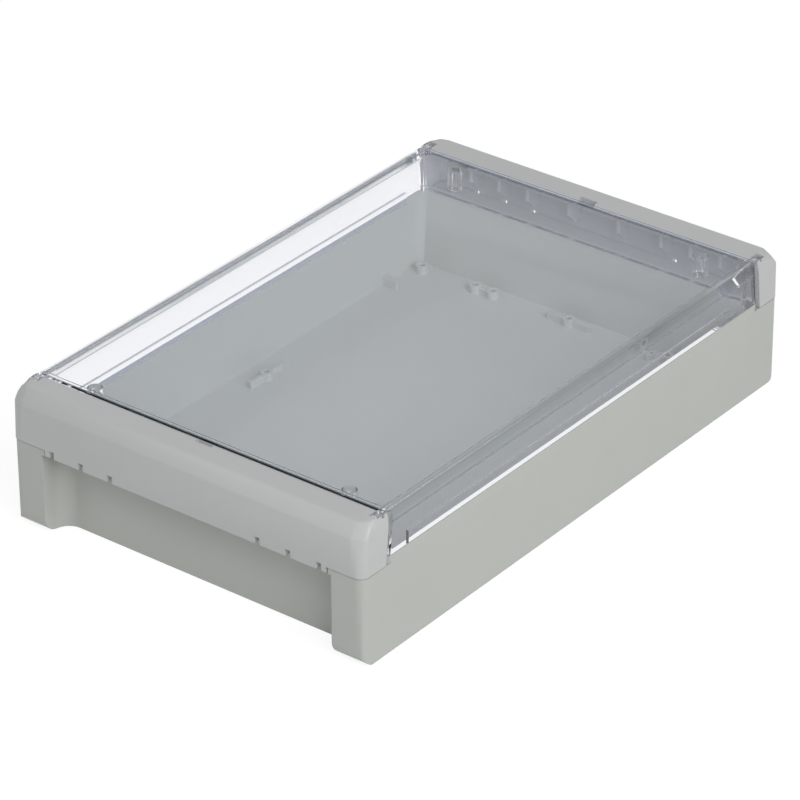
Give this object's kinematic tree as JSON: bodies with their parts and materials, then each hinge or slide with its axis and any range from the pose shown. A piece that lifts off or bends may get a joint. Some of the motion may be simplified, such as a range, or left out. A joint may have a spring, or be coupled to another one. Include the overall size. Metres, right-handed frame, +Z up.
{
  "type": "din rail enclosure",
  "caption": "Low rectangular electronics enclosure: deep moulded base, clear sealed lid and a flip-up cap over each end.",
  "frame": {"origin": "centre of the underside", "axes": "+X along the length, towards the end cap that serves as the lid's hinge; +Z up, out of the lid"},
  "size_m": [0.271, 0.17, 0.06],
  "materials": {
    "base_plastic": "fine moulded texture",
    "cap_plastic": "fine moulded texture",
    "clear_plastic": "polished clear polycarbonate",
    "seal_foam": "foamed seal"
  },
  "bodies": {
    "base": {"base_shell": "base_plastic", "rim_seal": "seal_foam", "right_end_cap": "cap_plastic"},
    "lid": {"clear_lid": "clear_plastic"},
    "left_cap": {"left_end_cap": "cap_plastic"}
  },
  "joints": [
    {"name": "lid_hinge", "type": "hinge", "parent": "base", "child": "lid", "pos_m": [0.1222, 0, 0.0575], "axis": [0, 1, 0], "range_deg": [0, 90]},
    {"name": "left_cap_flip", "type": "hinge", "parent": "lid", "child": "left_cap", "pos_m": [-0.1222, 0, 0.0575], "axis": [0, 1, 0], "range_deg": [0, 90]}
  ]
}
